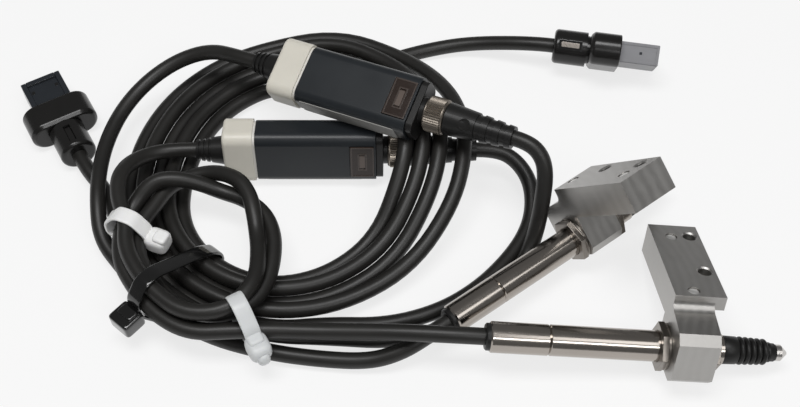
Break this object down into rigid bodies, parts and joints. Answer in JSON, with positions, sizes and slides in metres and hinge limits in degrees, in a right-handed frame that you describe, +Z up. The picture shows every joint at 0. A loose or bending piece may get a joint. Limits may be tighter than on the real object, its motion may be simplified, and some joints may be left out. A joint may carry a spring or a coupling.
{
  "type": "digital contact sensor",
  "caption": "Pencil contact displacement sensors in machined brackets with rubber bellows, inline relay boxes and black cables tied into one coiled bundle.",
  "frame": {"origin": "on the bench, under the middle of the heads, brackets and relay boxes", "axes": "+X to the right along the long side of the bundle, +Y away from the viewer, +Z up from the bench"},
  "size_m": [0.2123, 0.1212, 0.0459],
  "materials": {
    "bracket_metal": "machined",
    "stainless": "polished",
    "black_moulding": "satin",
    "bronze": "machined",
    "steel": "ground",
    "bellows_rubber": "satin",
    "nut_steel": "machined",
    "board": "lacquered",
    "box_plastic": "satin",
    "window_tint": "clear tinted",
    "cap_cream": "milky",
    "coupling_metal": "nickel plated, knurled",
    "gasket_white": "matte",
    "insert_grey": "translucent",
    "cable_sheath": "satin",
    "tie_white": "natural nylon",
    "tie_black": "moulded"
  },
  "bodies": {
    "bundle": {"barrel_a": "black_moulding", "barrel_b": "black_moulding", "bellows_1": "bellows_rubber", "bellows_2": "bellows_rubber", "boot_a": "black_moulding", "boot_b": "black_moulding", "box_shell_a": "box_plastic", "box_shell_b": "box_plastic", "bracket_1": "bracket_metal", "bracket_2": "bracket_metal", "circuit_boards": "board", "clamp_nuts": "nut_steel", "coil_big": "cable_sheath", "coil_small": "cable_sheath", "collar_a": "black_moulding", "collar_b": "black_moulding", "cord_a_end": "cable_sheath", "cord_a_plug": "cable_sheath", "cord_b_end": "cable_sheath", "cord_b_fan": "cable_sheath", "cord_b_plug": "cable_sheath", "front_sleeve_1": "stainless", "front_sleeve_2": "stainless", "gaskets": "gasket_white", "guide_bush_1": "bronze", "guide_bush_2": "bronze", "head_cord_1_box": "cable_sheath", "head_cord_1_end": "cable_sheath", "head_cord_2_box": "cable_sheath", "head_cord_2_end": "cable_sheath", "insert_a": "insert_grey", "insert_b": "insert_grey", "lamp_cap_a": "cap_cream", "lamp_cap_b": "cap_cream", "latches": "steel", "plug_body_a": "black_moulding", "plug_body_b": "black_moulding", "readers": "board", "rear_gland_1": "black_moulding", "rear_gland_2": "black_moulding", "rear_sleeve_1": "stainless", "rear_sleeve_2": "stainless", "return_spring_1": "steel", "return_spring_2": "steel", "socket_a": "box_plastic", "socket_b": "box_plastic", "tie_bundle": "tie_black", "tie_left": "tie_white", "tie_small_coil": "tie_white", "window_a": "window_tint", "window_b": "window_tint"},
    "spindle_body_1": {"spindle_1": "steel", "contact_tip_1": "steel"},
    "spindle_body_2": {"spindle_2": "steel", "contact_tip_2": "steel"},
    "coupling_body_a": {"coupling_nut_a": "coupling_metal"},
    "coupling_body_b": {"coupling_nut_b": "coupling_metal"}
  },
  "joints": [
    {"name": "spindle_1", "type": "slide", "parent": "bundle", "child": "spindle_body_1", "axis": [-0.8059, -0.592, -0.0105], "range_m": [0, 0.005], "stiffness_N_per_m": 120, "springref_m": -0.003, "deforming": ["bellows_1", "return_spring_1"]},
    {"name": "spindle_2", "type": "slide", "parent": "bundle", "child": "spindle_body_2", "axis": [-0.9957, 0.0122, 0.0924], "range_m": [0, 0.005], "stiffness_N_per_m": 120, "springref_m": -0.003, "deforming": ["bellows_2", "return_spring_2"]},
    {"name": "coupling_a", "type": "hinge", "parent": "bundle", "child": "coupling_body_a", "pos_m": [-0.01025, 0.02108, 0.02689], "axis": [0.8981, -0.4284, 0.0993], "continuous": true},
    {"name": "coupling_b", "type": "hinge", "parent": "bundle", "child": "coupling_body_b", "pos_m": [-0.02103, 0.02268, 0.0096], "axis": [1, 0, 0], "continuous": true}
  ]
}
